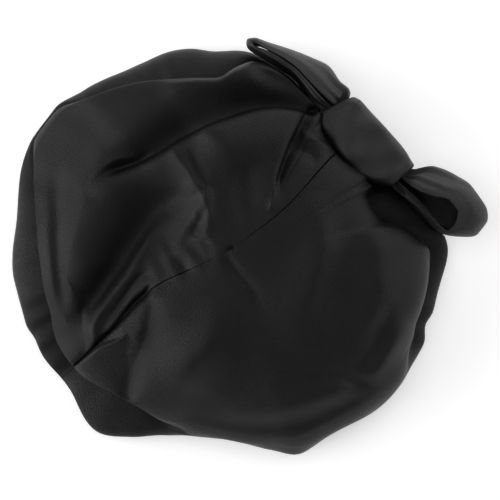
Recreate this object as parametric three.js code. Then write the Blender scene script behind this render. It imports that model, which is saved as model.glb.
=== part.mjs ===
// A satin sleep bonnet lying with its mouth down: a puffed crown of two panels joined by a
// seam from front to back, a gathered elastic rim band, and a bow on the front.
// Millimetres, +Z up. The bonnet lies on Z = 0 and its front, with the bow, faces -Y.
import * as THREE from "three";

// ---------------------------------------------------------------- driving dimensions
const CROWN_TOP = 74; // height of the crown above the surface it lies on
const CLOTH = 1.4; // crown wall: satin with a satin lining
const BOW_CLOTH = 1.6; // bow loops: a sewn tube pressed flat
const WRAP_CLOTH = 2.0; // the wider cloth around the middle of the bow
const GAP = 0.3; // left between pieces that touch
const MOUTH_RADIUS = 92; // inside of the relaxed elastic band
const BAND_THICKNESS = 3; // elastic in its casing
const BAND_HEIGHT = 12; // band at the sides and back
const BAND_RISE = 24; // what the front of the band stands higher, behind the bow
const BAND_LEAN = 5; // outward lean of the raised front at its top
const BULGE_HEIGHT = 20; // height of the widest line of the crown
const LIP_DROP = 8; // from an overhanging folded edge down to where it is tucked under
const UNDER_RADIUS = 14; // how far in the side turns as it comes down to the surface
const FLOOR_INNER = 116; // where the cloth lying on the surface starts to rise to the band
const SQUARENESS = 0.76; // exponent of the crown's domed section, 1 is an ellipse
const SLOPE_POWER = 2.2; // power of the flatter dome
const FLAT_SIDE = 40; // direction in which the dome is flattest, degrees
const PLACE = new THREE.Vector3(-1.2, -0.1, 0); // from the middle of the crown to the part's origin

const PANEL_STEPS = 36; // cells of a panel around the crown
const BAND_GATHERS = 14;
const BAND_PUFF = 1.2; // how far the gathers of the band swell in and out
const SIDE_RUFFLE = 2; // the same for the crown's hanging side
const SIDE_RUFFLES = 9; // slower waves of the side, over the gathers
const SLOW_PHASE = 40; // where the slower waves start, degrees
const BOW_SIDE = 270; // direction of the bow, degrees
const CALM_REACH = [32, 50]; // degrees from there over which the ruffles come in
const GATHER_RISE = 1.8; // height of the crown's gathers where it comes up to the band
const BAND_CLEAR = 0.6; // clearance beside the band, where the cloth comes up past it

// A section of the crown runs from its middle, s = 0, to the band. These are the values of s
// where its stretches end.
const EDGE = 1; // the upper edge
const TUCKED = 2; // under the folded edge, where there is one
const PLAIN_SIDE = 2.4; // foot of the side, in a plain section
const LIPPED_SIDE = 2.6; // the same in a lipped one
const LAID = 3; // on the surface
const LIFTING = 3.5; // where the cloth starts to rise to the band
const PUFFED = [3.8, 3.9]; // between these the gathers beside the band are fullest
const BAND = 4; // on the band's upper edge

// ---------------------------------------------------------------- the crown's sections
// One row for each direction seen from above, counter-clockwise from +X: reach of the widest
// line, reach and height of the folded upper edge, how far that edge tucks under, how much of
// the section is lipped, and how much of it is the raised front.
const SECTION_COLUMNS = ["angle", "reach", "lip", "lipHeight", "tuck", "lipped", "front"];
const SECTIONS = [
  [0, 150, 143, 42, 12, 0.9, 0],
  [9, 160, 155, 36, 8, 0.35, 0],
  [18, 161, 157, 30, 8, 0.35, 0],
  [26, 156, 147, 32, 12, 0.9, 0],
  [34, 152.5, 139, 38, 14, 1, 0],
  [45, 150.5, 132, 44, 14, 1, 0],
  [57, 152, 129, 44, 14, 1, 0],
  [70, 150, 129, 37, 13, 1, 0],
  [76, 146.5, 132, 33, 12, 1, 0],
  [82, 148.5, 135, 30, 12, 1, 0],
  [93, 151, 136, 32, 12, 1, 0],
  [104, 159, 131, 38, 14, 1, 0],
  [112, 151, 130, 36, 12, 1, 0],
  [120, 141, 131, 32, 8, 0.7, 0],
  [130, 134.5, 131, 28, 6, 0, 0],
  [150, 143.5, 135, 30, 6, 0, 0],
  [158, 151, 140, 30, 6, 0, 0],
  [166, 150, 141, 30, 6, 0, 0],
  [190, 154, 143, 30, 6, 0, 0],
  [205, 152.5, 143, 32, 10, 0.8, 0],
  [216, 152, 141, 37, 12, 1, 0],
  [227, 154, 140, 34, 10, 0.9, 0],
  [231, 152.5, 132, 35, 9, 0.9, 0],
  [235, 143, 121, 38, 8, 0.9, 0],
  [238, 138.5, 109, 41, 8, 1, 0],
  [242, 134, 105, 44, 8, 1, 0],
  [246, 129.2, 103, 45, 6, 1, 0],
  [249, 124, 102.5, 45, 6, 1, 0],
  [250, 119.6, 102.5, 45, 6, 0.95, 0],
  [252, 114, 102.5, 45, 6, 0.7, 0],
  [256, 105, 103, 44, 4, 0, 1],
  [262, 102.2, 101.2, 43, 4, 0, 1],
  [270, 100.4, 99.8, 43, 4, 0, 1],
  [275, 101.2, 100.6, 43, 4, 0, 1],
  [278, 103, 102.3, 44, 4, 0, 1],
  [280, 105.8, 104.9, 45, 4, 0, 1],
  [281.5, 111, 109, 46, 4, 0.2, 0.8],
  [283, 118, 112.4, 46, 4, 0.8, 0.25],
  [285, 121, 114.6, 45.5, 5, 1, 0.1],
  [287, 122.4, 116.6, 45, 5, 1, 0],
  [293, 125.4, 121, 44, 6, 1, 0],
  [299, 130.8, 126.4, 43, 6, 1, 0],
  [305, 135.2, 130.6, 43, 7, 1, 0],
  [310, 138.5, 132, 44, 8, 0.9, 0],
  [315, 140, 124, 46, 8, 0.4, 0],
  [322, 141, 119, 50, 12, 1, 0],
  [329, 144.5, 121, 50, 12, 1, 0],
  [336, 145.5, 124, 50, 12, 1, 0],
  [347, 146.5, 132, 47, 12, 1, 0],
];

// Sideways run of the middle seam, seen from above.
const SEAM_COLUMNS = ["y", "x"];
const SEAM = [
  [-160, 0],
  [-98, -1],
  [-45, -6],
  [-7, -3],
  [22, 4],
  [60, 14],
  [95, 12],
  [160, 11],
];
const SEAM_SPREAD = 70; // how far to each side the panels follow the seam's run

// Folds and dents of the crown's upper side: the line each one follows, seen from above,
// its height (a valley is negative), and its width left and right of that line.
const FOLD_COLUMNS = ["name", "line", "height", "left", "right"];
const FOLDS = [
  ["long_valley", [[44, -108], [70, -84], [88, -55], [94, -20], [101, 15], [99, 44]], -13, 11, 15],
  ["valley_shoulder", [[44, -94], [62, -62], [74, -32], [80, 0], [84, 26]], 4, 8, 12],
  ["outer_ridge", [[106, -52], [112, -15], [112, 12], [104, 48], [78, 84]], 5, 11, 9],
  ["cross_dent", [[86, 30], [70, 14], [54, 0]], -5, 10, 10],
  ["side_hollow", [[64, 16], [58, 52], [46, 82], [36, 104]], -12, 14, 15],
  ["back_ridge", [[45, 34], [31, 61], [28, 88], [28, 108]], 8, 9, 9],
  ["back_crease", [[15, 60], [13, 88], [10, 113], [9, 142]], -14, 8, 8],
  ["seam_groove", [[-1, -96], [-6, -40], [0, 8], [14, 58]], -2.5, 6, 6],
  ["centre_bulge", [[78, -30], [58, -48], [38, -46]], 5, 20, 16],
  ["middle_pleat", [[42, -14], [29, 5], [12, 16]], 6, 6, 6],
  ["short_pleat", [[38, 29], [26, 32], [14, 34]], 4, 5, 5],
  ["front_fold", [[33, -106], [26, -82], [10, -58], [-4, -47]], -6, 7, 5],
  ["right_swell", [[-20, -52], [-57, -32], [-76, 12]], 4, 16, 14],
  ["right_back_swell", [[-8, 50], [-34, 56], [-48, 86]], 5, 14, 12],
  ["right_crease", [[-3, 8], [-28, 7], [-50, 12]], -4, 7, 7],
  ["right_side_swell", [[-54, -82], [-94, -55], [-114, -34]], 5, 12, 12],
  ["right_back_crease", [[3, 86], [-16, 107], [-34, 126]], -5, 6, 7],
  ["right_pucker", [[-100, -10], [-120, -14], [-140, -10]], -6, 8, 8],
];

// The bow's loops: a strip from inside the wrap, out around the tip and back. Each row gives
// the strip's upper edge, the middle of its face, and its lower edge.
const STRIP_EDGES = ["top", "mid", "low"];
const STRIP_COLUMNS = STRIP_EDGES.flatMap((edge) => ["X", "Y", "Z"].map((axis) => edge + axis));
const LEFT_LOOP = [
  [-5, -122, 44, -5, -131, 32, -5, -126, 20],
  [21, -122, 44, 21, -130, 32, 21, -126, 20],
  [27, -120.5, 47, 27, -137.6, 32, 27, -121.5, 16],
  [36, -119.8, 49, 36, -136, 32, 36, -121, 12],
  [46, -119.5, 50, 47, -137, 31, 46, -121, 11],
  [59, -119.5, 50, 60, -133, 30, 58, -121, 11],
  [73, -117, 49, 74, -127, 30, 72, -118.5, 11],
  [86, -113, 47, 87, -120, 30, 85, -115, 12],
  [94, -110, 45, 98, -113, 30, 92, -111.5, 13.5],
  [95.5, -108.5, 44.5, 100, -108, 30, 93.5, -109.5, 15],
  [93, -107.8, 45.5, 95, -104.5, 30, 91, -109, 17.5],
  [85.5, -111.6, 47, 86, -106.8, 30, 85, -115, 17],
  [72.5, -115.8, 49, 73, -110.5, 30, 72, -120, 16],
  [59, -118.3, 50, 58, -113.7, 30, 58, -123.5, 16],
  [46, -118.4, 50, 46, -113.2, 30, 46, -123.5, 16],
  [36, -118.5, 49, 36, -112.7, 31, 36, -123, 17],
  [21, -120.3, 44, 21, -115.5, 32, 21, -122.5, 22],
  [-5, -120, 44, -5, -115, 32, -5, -121, 22],
];
const RIGHT_LOOP = [
  [-15, -124, 43, -15, -129, 32, -15, -124, 21],
  [-43, -123, 43, -43, -131, 32, -43, -122.8, 20],
  [-53, -123, 50, -54, -145, 31, -54, -119, 14],
  [-67, -129, 54, -69, -151, 31, -68, -118, 11],
  [-78, -136, 54, -82, -154, 31, -79, -118, 11],
  [-86, -136, 51, -98, -153, 31, -86, -119, 11.5],
  [-91, -132, 48, -108, -146, 31, -90, -120.5, 12.5],
  [-93, -127, 46, -109, -136, 31, -92, -122, 14],
  [-93, -122, 45, -101, -126, 32, -91, -123, 18],
  [-85, -120.5, 46, -87, -116.8, 36, -84, -121.5, 19],
  [-71, -121, 47, -71, -115.6, 38, -71, -121.5, 19],
  [-57, -120.5, 47, -57, -115.4, 38, -57, -121.5, 19],
  [-43, -119.5, 43, -43, -115.6, 33, -43, -121, 24],
  [-15, -119.8, 43, -15, -116, 32, -15, -121, 23],
];

// The cloth wrapped around the bow's middle: its stations along X.
const WRAP_COLUMNS = ["x", "y", "z", "halfDepth", "halfHeight"];
const WRAP = [
  [-44, -124, 32, 11, 17],
  [-34, -121.6, 32, 14.6, 19],
  [-21, -119, 32, 18, 20.5],
  [0, -119.3, 32, 18.6, 21],
  [16, -119.9, 32, 17.4, 20],
  [21, -121.5, 32, 15, 18.5],
  [24, -123, 32, 12.5, 17],
];
const WRAP_SQUARENESS = 0.34;

// ---------------------------------------------------------------- small helpers
const rad = THREE.MathUtils.degToRad;
const smooth = THREE.MathUtils.smoothstep;
const mix = THREE.MathUtils.lerp;

// A column of a table at a position: cubic steps through its rows that never overshoot them.
function tableValue(rows, keys, column, at, period = 0) {
  const c = keys.indexOf(column);
  const n = rows.length;
  const key = (i) => rows[((i % n) + n) % n][0] + period * Math.floor(i / n);
  const value = (i) => rows[((i % n) + n) % n][c];
  let i = 0;
  if (period) {
    at = ((at - rows[0][0]) % period + period) % period + rows[0][0];
    while (i < n - 1 && rows[i + 1][0] <= at) i++;
  } else {
    at = Math.min(Math.max(at, rows[0][0]), rows[n - 1][0]);
    while (i < n - 2 && rows[i + 1][0] <= at) i++;
  }
  const step = (j) => (value(j + 1) - value(j)) / (key(j + 1) - key(j));
  const slope = (j) => {
    if (!period && (j === 0 || j === n - 1)) return step(Math.min(j, n - 2));
    const [before, after] = [step(j - 1), step(j)];
    return before * after <= 0 ? 0 : (2 * before * after) / (before + after);
  };
  const width = key(i + 1) - key(i);
  const u = (at - key(i)) / width;
  const [p, q] = [value(i), value(i + 1)];
  const [dp, dq] = [slope(i) * width, slope(i + 1) * width];
  return (
    (2 * u ** 3 - 3 * u ** 2 + 1) * p + (u ** 3 - 2 * u ** 2 + u) * dp +
    (3 * u ** 2 - 2 * u ** 3) * q + (u ** 3 - u ** 2) * dq
  );
}

const sectionValue = (column, angle) =>
  tableValue(SECTIONS, SECTION_COLUMNS, column, angle, 360);

// The point of a cubic Bezier curve given by its four [r, z] points.
function bezier(points, u) {
  const w = [(1 - u) ** 3, 3 * u * (1 - u) ** 2, 3 * u * u * (1 - u), u ** 3];
  return [0, 1].map((k) => points.reduce((sum, p, i) => sum + w[i] * p[k], 0));
}

// From the crown's top, turn = 0, to its edge, turn = 90 degrees: a superellipse where the
// dome is full, and a flatter power curve towards the left panel.
function dome(reach, base, turn, angle) {
  const share = Math.sin(rad(turn)) ** SQUARENESS;
  const flat = 0.5 + 0.5 * Math.cos(rad(angle - FLAT_SIDE));
  const left = mix(Math.cos(rad(turn)) ** SQUARENESS, 1 - share ** SLOPE_POWER, flat);
  return [reach * share, base + (CROWN_TOP - base) * left];
}

// ---------------------------------------------------------------- the crown's surface
const bandTop = (angle) => BAND_HEIGHT + BAND_RISE * sectionValue("front", angle);
const bandPuff = (angle) => BAND_PUFF * Math.cos(rad(BAND_GATHERS * angle));
// Radius of the band's outer face, at a share of its height.
const bandOuter = (angle, share = 1) =>
  MOUTH_RADIUS + BAND_THICKNESS + BAND_LEAN * sectionValue("front", angle) * share +
  bandPuff(angle) * Math.sin(Math.PI * share);

// Height at which the crown's cloth lands on the band's upper edge: a little clear of it
// where that edge climbs to the raised front.
const CLIMB_CLEARANCE = 1.5;
function landing(angle) {
  const front = sectionValue("front", angle);
  return bandTop(angle) + GAP + CLIMB_CLEARANCE * 4 * front * (1 - front);
}

// The last stretches lie on the surface and then rise, in a curve, onto the band's edge.
const RISE = { level: 9, away: 8, above: 5 }; // the curve's handles
function lyingStretch(reach, angle, s) {
  if (s < LIFTING) return [mix(reach - UNDER_RADIUS, FLOOR_INNER, (s - LAID) / (LIFTING - LAID)), 0];
  const end = [bandOuter(angle) - BAND_THICKNESS * 0.7, landing(angle)];
  const handles = [[FLOOR_INNER - RISE.level, 0], [end[0] + RISE.away, end[1] + RISE.above]];
  return bezier([[FLOOR_INNER, 0], ...handles, end], (s - LIFTING) / (BAND - LIFTING));
}

// The quarter turn from the widest line, at a height, in and down to the surface.
function turnUnder(reach, height, u) {
  const turn = rad(90) * u;
  return [reach - UNDER_RADIUS * (1 - Math.cos(turn)), height * (1 - Math.sin(turn))];
}

// A full dome: its upper side ends at SHOULDER degrees, and the rest of it is the side.
const SHOULDER = 66;
function plainSection(reach, angle, s) {
  if (s <= EDGE) return dome(reach, BULGE_HEIGHT, SHOULDER * s, angle);
  const side = (s - EDGE) / (PLAIN_SIDE - EDGE);
  if (s <= PLAIN_SIDE) return dome(reach, BULGE_HEIGHT, mix(SHOULDER, 90, side), angle);
  if (s > LAID) return lyingStretch(reach, angle, s);
  return turnUnder(reach, BULGE_HEIGHT, (s - PLAIN_SIDE) / (LAID - PLAIN_SIDE));
}

// A dome folded over at its edge, and the layer below it, which reaches further out.
const LAYER = { inwards: 6, below: 5, fall: 3 }; // handles of the layer's curve, and how low it ends
function lippedSection(reach, lip, lipHeight, tuck, angle, s) {
  if (s <= EDGE) return dome(lip, lipHeight, 90 * s, angle);
  const turn = rad(90) * (s - EDGE);
  if (s <= TUCKED) return [lip - tuck * (1 - Math.cos(turn)), lipHeight - LIP_DROP * Math.sin(turn)];
  if (s > LAID) return lyingStretch(reach, angle, s);
  const start = [lip - tuck, lipHeight - LIP_DROP];
  const edge = [reach, BULGE_HEIGHT - LAYER.below];
  const handles = [
    [start[0] - LAYER.inwards, start[1] - LAYER.below],
    [reach - 1, start[1] - LAYER.fall],
  ];
  if (s <= LIPPED_SIDE)
    return bezier([start, ...handles, edge], (s - TUCKED) / (LIPPED_SIDE - TUCKED));
  return turnUnder(reach, edge[1], (s - LIPPED_SIDE) / (LAID - LIPPED_SIDE));
}

// A dome whose edge goes straight down onto the raised band, behind the bow.
const FRONT_FALL = 5; // handles of the curve at its upper and lower end
function frontSection(lip, lipHeight, angle, s) {
  if (s <= EDGE) return dome(lip, lipHeight, 90 * s, angle);
  const end = [bandOuter(angle) - GAP, landing(angle)];
  const handles = [[lip, lipHeight - FRONT_FALL], [end[0], end[1] + FRONT_FALL]];
  return bezier([[lip, lipHeight], ...handles, end], (s - EDGE) / (BAND - EDGE));
}

const FOLD_POINTS = 24; // points that a fold's line is followed by
const FOLD_END = 0.2; // share of the line over which a fold rises or dies away
const foldLines = FOLDS.map((row) => {
  const fold = Object.fromEntries(FOLD_COLUMNS.map((key, i) => [key, row[i]]));
  const curve = new THREE.SplineCurve(fold.line.map(([x, y]) => new THREE.Vector2(x, y)));
  return { ...fold, points: curve.getPoints(FOLD_POINTS) };
});

// What the folds add to the height at a place seen from above.
function foldHeight(x, y) {
  const here = new THREE.Vector2(x, y);
  let sum = 0;
  for (const { points, height, left, right } of foldLines) {
    let best = { distance: Infinity };
    for (let i = 0; i + 1 < points.length; i++) {
      const along = points[i + 1].clone().sub(points[i]);
      const off = here.clone().sub(points[i]);
      const u = Math.min(Math.max(off.dot(along) / along.lengthSq(), 0), 1);
      const distance = off.clone().addScaledVector(along, -u).length();
      if (distance < best.distance)
        best = { distance, side: along.cross(off), t: (i + u) / (points.length - 1) };
    }
    const width = best.side > 0 ? left : right;
    const ends = smooth(best.t, 0, FOLD_END) * smooth(1 - best.t, 0, FOLD_END);
    sum += height * ends * Math.exp(-((best.distance / width) ** 2));
  }
  return sum;
}

const ARRIVAL = { plain: 6, front: 2 }; // how steeply the cloth comes down onto the band's edge
// A point of the crown's outer face, at an angle in degrees.
function crownPoint(angle, s) {
  const [reach, lip, lipHeight, tuck, lipped, front] = SECTION_COLUMNS.slice(1).map((column) =>
    sectionValue(column, angle),
  );
  const plain = plainSection(reach, angle, s);
  const over = lippedSection(reach, lip, lipHeight, tuck, angle, s);
  const fore = frontSection(lip, lipHeight, angle, s);
  let [r, z] = [0, 1].map((k) => mix(mix(plain[k], over[k], lipped), fore[k], front));
  // Gathers into the band, and soft ruffles of the hanging side.
  const wave = Math.cos(rad(BAND_GATHERS * angle));
  const slow = Math.cos(rad(SIDE_RUFFLES * angle + SLOW_PHASE));
  const calm = smooth(Math.abs(((angle % 360) + 360) % 360 - BOW_SIDE), ...CALM_REACH);
  const side = smooth(s, 1.6, PLAIN_SIDE) * (1 - smooth(s, LIPPED_SIDE, LAID));
  const nearBand = smooth(s, LIFTING, PUFFED[0]) * (1 - smooth(s, PUFFED[1], BAND));
  r += side * calm * (SIDE_RUFFLE * wave + BAND_PUFF * slow);
  z += nearBand * GATHER_RISE * (1 - front) * (1 + wave);
  // Over the band the cloth stays above its edge, and beside it outside its face.
  if (s > mix(PUFFED[0], LAID, front))
    z = Math.max(z, landing(angle) + mix(ARRIVAL.plain, ARRIVAL.front, front) * (BAND - s));
  const top = bandTop(angle);
  if (s > PLAIN_SIDE && z < top) r = Math.max(r, bandOuter(angle, z / top) + CLOTH + BAND_CLEAR);
  let x = r * Math.cos(rad(angle));
  const y = r * Math.sin(rad(angle));
  const follow = (1 - smooth(s, PLAIN_SIDE, LAID)) * Math.exp(-((x / SEAM_SPREAD) ** 2));
  x += follow * tableValue(SEAM, SEAM_COLUMNS, "x", y);
  z += foldHeight(x, y) * (1 - smooth(s, 0.75, EDGE + 0.05));
  return new THREE.Vector3(x, y, z);
}

// The outward normal of the crown's face, from a short step on it either way.
function crownNormal(angle, s) {
  const [turn, step] = [0.5, 0.02];
  const at = Math.max(s, 2 * step);
  const around = crownPoint(angle + turn, at).sub(crownPoint(angle - turn, at));
  const along = crownPoint(angle, Math.min(at + step, BAND)).sub(crownPoint(angle, at - step));
  return along.cross(around).normalize();
}

// ---------------------------------------------------------------- closed walls from grids
// A closed solid from an outer and an inner grid of points, outer[i][j] and inner[i][j].
// Rows may close on themselves, and points given twice are used once.
function wall(outer, inner, rowsClose = false) {
  const positions = [];
  const ids = new Map();
  const id = (p) => {
    const name = p.toArray().map((v) => v.toFixed(4)).join();
    if (!ids.has(name)) {
      ids.set(name, positions.length / 3);
      positions.push(...p.toArray());
    }
    return ids.get(name);
  };
  const index = [];
  const quad = (a, b, c, d) => {
    for (const face of [[a, b, c], [a, c, d]]) {
      const corners = face.map(id);
      if (new Set(corners).size === 3) index.push(...corners);
    }
  };
  const rows = outer.length;
  const columns = outer[0].length;
  for (let i = 0; i < (rowsClose ? rows : rows - 1); i++) {
    const k = (i + 1) % rows;
    for (let j = 0; j + 1 < columns; j++) {
      quad(outer[i][j], outer[i][j + 1], outer[k][j + 1], outer[k][j]);
      quad(inner[i][j], inner[k][j], inner[k][j + 1], inner[i][j + 1]);
    }
    quad(outer[i][0], outer[k][0], inner[k][0], inner[i][0]);
    const e = columns - 1;
    quad(outer[i][e], inner[i][e], inner[k][e], outer[k][e]);
  }
  if (!rowsClose)
    for (let j = 0; j + 1 < columns; j++) {
      const e = rows - 1;
      quad(outer[0][j], inner[0][j], inner[0][j + 1], outer[0][j + 1]);
      quad(outer[e][j], outer[e][j + 1], inner[e][j + 1], inner[e][j]);
    }
  const geometry = new THREE.BufferGeometry();
  geometry.setAttribute("position", new THREE.Float32BufferAttribute(positions, 3));
  geometry.setIndex(index);
  geometry.computeVertexNormals();
  return geometry;
}

const satin = (name, color) =>
  new THREE.MeshStandardMaterial({ name, color, roughness: 0.42, metalness: 0 });
const crownSatin = satin("crown_satin", 0x1b1b1c);
const bandSatin = satin("band_satin", 0x18181a);
const bowSatin = satin("bow_satin", 0x1d1d1f);

function named(name, geometry, material) {
  const mesh = new THREE.Mesh(geometry, material);
  mesh.name = name;
  mesh.position.copy(PLACE);
  return mesh;
}

// ---------------------------------------------------------------- the pieces
// The values of s at which a panel has a row of points: close where the section turns.
const STATIONS = [
  0, 0.1, 0.2, 0.32, 0.43, 0.53, 0.62, 0.7, 0.77, 0.84, 0.9, 0.95, EDGE, 1.3, 1.65, TUCKED,
  2.15, 2.3, 2.45, LIPPED_SIDE, 2.8, LAID, LIFTING, 3.67, 3.83, BAND,
];

function crownPanel(name, from, to) {
  const aside = (GAP / 2) * Math.sign(Math.cos(rad((from + to) / 2)));
  const [outer, inner] = [[], []];
  for (let i = 0; i <= PANEL_STEPS; i++) {
    const angle = mix(from, to, i / PANEL_STEPS);
    const onSeam = i === 0 || i === PANEL_STEPS;
    const face = [];
    const back = [];
    for (const s of STATIONS) {
      const point = crownPoint(angle, s);
      if (onSeam || s === 0) point.x += aside;
      face.push(point);
      const normal = s === 0 ? new THREE.Vector3(0, 0, 1) : crownNormal(angle, s);
      if (onSeam) normal.setX(0).normalize();
      const within = point.clone().addScaledVector(normal, -CLOTH);
      if (s > LIFTING) within.z = Math.max(within.z, point.z); // clear of the band it lands on
      back.push(within);
    }
    outer.push(face);
    inner.push(back);
  }
  return named(name, wall(outer, inner), crownSatin);
}

function rimBand() {
  const [outer, inner] = [[], []];
  const steps = PANEL_STEPS * 2;
  for (let i = 0; i < steps; i++) {
    const angle = (360 * i) / steps - 90;
    const at = (r, z) =>
      new THREE.Vector3(r * Math.cos(rad(angle)), r * Math.sin(rad(angle)), z);
    const levels = [1, 0.5, 0]; // from the upper edge down, so that the outer grid faces out
    const face = (depth) =>
      levels.map((share) => at(bandOuter(angle, share) - depth, bandTop(angle) * share));
    outer.push(face(0));
    inner.push(face(BAND_THICKNESS));
  }
  return named("rim_band", wall(outer, inner, true), bandSatin);
}

// A point on a loop's strip: u along it, v from 0 at its lower edge to 1 at its upper edge,
// over half an ellipse through low, mid and top.
function stripPoint(rows, u, v) {
  const keyed = rows.map((row, i) => [i, ...row]);
  const keys = ["row", ...STRIP_COLUMNS];
  const value = (column) => tableValue(keyed, keys, column, u * (rows.length - 1));
  const [top, mid, low] = STRIP_EDGES.map(
    (edge) => new THREE.Vector3(value(edge + "X"), value(edge + "Y"), value(edge + "Z")),
  );
  const turn = Math.PI * (v - 0.5);
  const middle = top.clone().lerp(low, 0.5);
  const rise = top.sub(middle).multiplyScalar(Math.sin(turn));
  return mid.sub(middle).multiplyScalar(Math.cos(turn)).add(rise).add(middle);
}

function bowLoop(name, rows, turn) {
  const [outer, inner] = [[], []];
  const [steps, across] = [34, 8]; // cells along the strip and across it
  for (let i = 0; i <= steps; i++) {
    const u = i / steps;
    const face = [];
    const back = [];
    for (let j = 0; j <= across; j++) {
      const v = j / across;
      const point = stripPoint(rows, u, v);
      const step = 0.01; // a short step on the face, either way
      const along = stripPoint(rows, Math.min(u + step, 1), v)
        .sub(stripPoint(rows, Math.max(u - step, 0), v));
      const up = stripPoint(rows, u, Math.min(v + step, 1))
        .sub(stripPoint(rows, u, Math.max(v - step, 0)));
      const normal = along.cross(up).normalize().multiplyScalar(turn);
      face.push(point);
      back.push(point.clone().addScaledVector(normal, -BOW_CLOTH));
    }
    outer.push(face);
    inner.push(back);
  }
  if (turn > 0) [outer, inner].forEach((grid) => grid.reverse());
  return named(name, wall(outer, inner), bowSatin);
}

function bowWrap() {
  const steps = 20; // points around
  const ring = (x, shrink) => {
    const value = (column) => tableValue(WRAP, WRAP_COLUMNS, column, x);
    const points = [];
    for (let i = 0; i < steps; i++) {
      const a = (Math.PI * 2 * i) / steps;
      const power = (v) => Math.sign(v) * Math.abs(v) ** WRAP_SQUARENESS;
      points.push(
        new THREE.Vector3(
          x,
          value("y") + (value("halfDepth") - shrink) * power(Math.cos(a)),
          value("z") + (value("halfHeight") - shrink) * power(Math.sin(a)),
        ),
      );
    }
    return points;
  };
  const stations = [24, 21.5, 17, 8, -4, -16, -26, -35, -44];
  const turned = (shrink) => {
    const rings = stations.map((x) => ring(x, shrink));
    return Array.from({ length: steps }, (_, i) => rings.map((points) => points[i]));
  };
  return named("bow_wrap", wall(turned(0), turned(WRAP_CLOTH), true), bowSatin);
}

const bonnet = new THREE.Group();
bonnet.name = "sleep_bonnet";
bonnet.add(
  crownPanel("crown_left", -90, 90),
  crownPanel("crown_right", 90, 270),
  rimBand(),
  bowLoop("bow_loop_left", LEFT_LOOP, 1),
  bowLoop("bow_loop_right", RIGHT_LOOP, -1),
  bowWrap(),
);

export default bonnet;
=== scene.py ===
"""Dresses a black satin sleep bonnet that lies mouth down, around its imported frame.

Tables and sizes are in millimetres, from the crown's middle; meshes are made in metres. The
stage, the walls of the cloth and flat sizes are in metres. Angles in tables are in degrees.
"""

import math

import bpy
import numpy as np
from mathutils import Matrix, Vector
from bpy.props import FloatProperty, FloatVectorProperty, IntProperty, PointerProperty


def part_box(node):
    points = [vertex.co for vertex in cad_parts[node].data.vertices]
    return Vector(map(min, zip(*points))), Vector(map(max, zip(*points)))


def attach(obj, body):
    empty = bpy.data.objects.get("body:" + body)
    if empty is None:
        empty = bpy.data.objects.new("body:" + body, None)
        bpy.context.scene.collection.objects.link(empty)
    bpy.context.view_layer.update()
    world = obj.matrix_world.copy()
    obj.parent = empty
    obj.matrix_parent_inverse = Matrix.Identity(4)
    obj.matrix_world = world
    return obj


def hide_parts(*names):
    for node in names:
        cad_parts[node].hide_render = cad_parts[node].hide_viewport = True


bl_info = {
    "name": "Satin sleep bonnet",
    "version": (1, 0, 0),
    "blender": (4, 5, 0),
    "location": "View3D > Sidebar > Bonnet",
    "description": "Makes a puffed satin sleep bonnet with a gathered rim and a bow",
    "category": "Add Mesh",
}

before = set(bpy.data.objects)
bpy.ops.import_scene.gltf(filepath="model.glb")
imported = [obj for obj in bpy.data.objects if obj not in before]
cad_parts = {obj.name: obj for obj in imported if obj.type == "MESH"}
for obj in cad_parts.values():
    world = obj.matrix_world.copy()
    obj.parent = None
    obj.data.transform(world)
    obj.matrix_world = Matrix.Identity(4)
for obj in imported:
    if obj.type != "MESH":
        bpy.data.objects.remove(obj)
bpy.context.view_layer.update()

MM = 0.001

# ------------------------------------------------------------------ measures from the frame
_band_low, _band_high = (np.array(corner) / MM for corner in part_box("rim_band"))
GATHER_REACH = 1.2  # how far the band's gathers stand out of its face
BAND_RADIUS = (_band_high[0] - _band_low[0]) / 2 - GATHER_REACH  # outer face, without its gathers
MIDDLE = np.array([(_band_high[0] + _band_low[0]) / 2, _band_high[1] - BAND_RADIUS, 0.0])
BAND_THICKNESS = 3.0
BAND_HEIGHT = 12.0
BAND_RISE = 24.0  # how much higher the band is behind the bow
BAND_LEAN = 5.0  # how far its top leans out there
BAND_GAP = 0.3  # from its top up to the crown's edge

CROWN_TOP = 74.0
BULGE_HEIGHT = 20.0  # of the widest line
LAYER_HEIGHT = 15.0  # of the widest line of the layer below a folded edge
LIP_DROP = 8.0  # from the folded edge down to where the cloth below it begins
UNDER_ROLL = 14.0  # how far the cloth rolls in below its widest line
FLOOR_INNER = 116.0  # where it leaves the surface for the band
SQUARENESS = 0.76
SLOPE_POWER = 2.2  # of the flatter dome that the left panel comes near to
FLAT_SIDE = 40.0  # direction in which it is flattest
BOW_SIDE = 270.0  # direction of the bow
CALM_SIDE = (32.0, 50.0)  # degrees from the bow at which the ruffles begin, and are full
PUFF_BESIDE_BOW = 9.0  # how much higher the lower layer stands at the bow's right end
PUFF_SIDE = 243.0
PUFF_SPREAD = 8.0

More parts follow.
